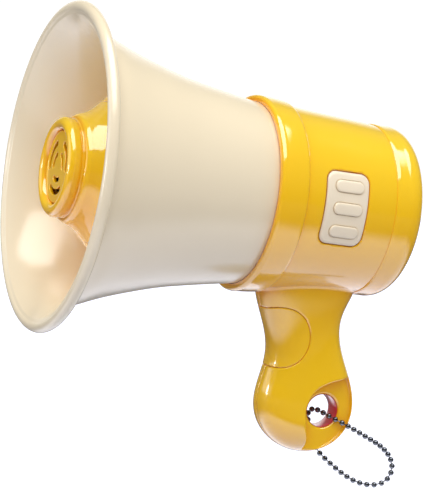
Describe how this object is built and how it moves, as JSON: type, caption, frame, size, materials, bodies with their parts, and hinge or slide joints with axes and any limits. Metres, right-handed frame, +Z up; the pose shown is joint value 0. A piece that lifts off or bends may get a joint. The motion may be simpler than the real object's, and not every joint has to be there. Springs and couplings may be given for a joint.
{
  "type": "handheld megaphone",
  "caption": "Handheld megaphone with a flared horn, a barrel body with touch keys, a pistol grip with a rocker trigger, and a ball-chain wrist loop.",
  "frame": {"origin": "centre of the horn's mouth, in the plane of its rim", "axes": "the horn's axis is Y and the mouth opens towards -Y; +Z is up and the grip hangs below the barrel; the keys are on the +X side"},
  "size_m": [0.1332, 0.1726, 0.1854],
  "materials": {
    "yellow_plastic": "glossy",
    "cream_plastic": "satin gloss",
    "key_plastic": "satin",
    "coral_plastic": "glossy",
    "chain_steel": "bright nickel plate",
    "screw_steel": "zinc plate",
    "magnet_ferrite": "dull",
    "pole_steel": "plain",
    "paper_cone": "pressed paper",
    "seal_rubber": "dull",
    "board_laminate": "solder mask",
    "black_plastic": "fine grain",
    "cell_metal": "wrapped",
    "spring_steel": "bright",
    "wire_insulation": "smooth"
  },
  "bodies": {
    "megaphone": {"horn_bell": "cream_plastic", "driver_cover": "yellow_plastic", "grille_disc": "yellow_plastic", "driver_base": "yellow_plastic", "speaker_frame": "pole_steel", "speaker_magnet": "magnet_ferrite", "speaker_pole": "pole_steel", "speaker_surround": "seal_rubber", "front_collar": "yellow_plastic", "flange_screws": "screw_steel", "housing_left": "yellow_plastic", "housing_right": "yellow_plastic", "case_screws": "screw_steel", "rear_cap": "yellow_plastic", "microphone_grille": "black_plastic", "microphone_capsule": "pole_steel", "microphone_boot": "seal_rubber", "key_plate": "key_plastic", "key_board": "board_laminate", "key_switches": "black_plastic", "battery_holder": "black_plastic", "battery_cells": "cell_metal", "battery_contacts": "spring_steel", "main_board": "board_laminate", "board_parts": "black_plastic", "board_screws": "screw_steel", "trigger_pin": "screw_steel", "trigger_spring": "spring_steel", "trigger_switch": "black_plastic", "trigger_board": "board_laminate", "speaker_wires": "wire_insulation", "microphone_wires": "wire_insulation", "trigger_wires": "wire_insulation", "key_wires": "wire_insulation", "lanyard_eyelet": "coral_plastic"},
    "trigger": {"trigger": "yellow_plastic"},
    "upper_key": {"key_top": "key_plastic"},
    "centre_key": {"key_middle": "key_plastic"},
    "lower_key": {"key_bottom": "key_plastic"},
    "door": {"battery_door": "yellow_plastic"},
    "cone": {"speaker_cone": "paper_cone"},
    "chain_inner": {"chain_beads_inner": "chain_steel", "chain_links_inner": "chain_steel"},
    "chain_middle": {"chain_beads_middle": "chain_steel", "chain_links_middle": "chain_steel"},
    "chain_end": {"chain_beads_end": "chain_steel", "chain_links_end": "chain_steel"}
  },
  "joints": [
    {"name": "trigger_press", "type": "hinge", "parent": "megaphone", "child": "trigger", "pos_m": [0, 0.106, -0.0574], "axis": [1, 0, 0], "range_deg": [0, 6], "deforming": ["trigger_spring"]},
    {"name": "upper_key_press", "type": "slide", "parent": "megaphone", "child": "upper_key", "axis": [-1, 0, 0], "range_m": [0, 0.0005]},
    {"name": "centre_key_press", "type": "slide", "parent": "megaphone", "child": "centre_key", "axis": [-1, 0, 0], "range_m": [0, 0.0005]},
    {"name": "lower_key_press", "type": "slide", "parent": "megaphone", "child": "lower_key", "axis": [-1, 0, 0], "range_m": [0, 0.0005]},
    {"name": "door_lift", "type": "slide", "parent": "megaphone", "child": "door", "axis": [-1, 0, 0], "range_m": [0, 0.012]},
    {"name": "cone_travel", "type": "slide", "parent": "megaphone", "child": "cone", "axis": [0, -1, 0], "range_m": [-0.0003, 0.0003]},
    {"name": "chain_swing", "type": "hinge", "parent": "megaphone", "child": "chain_inner", "pos_m": [0, 0.1328, -0.0866], "axis": [1, 0, 0], "range_deg": [-20, 40]},
    {"name": "chain_fold", "type": "hinge", "parent": "chain_inner", "child": "chain_middle", "pos_m": [0.00736, 0.14758, -0.0929], "axis": [-0.643, -0.2193, -0.7338], "range_deg": [-12, 12]},
    {"name": "chain_tip_fold", "type": "hinge", "parent": "chain_middle", "child": "chain_end", "pos_m": [0.00613, 0.15943, -0.09783], "axis": [-0.4929, -0.2709, -0.8269], "range_deg": [-12, 12]}
  ]
}
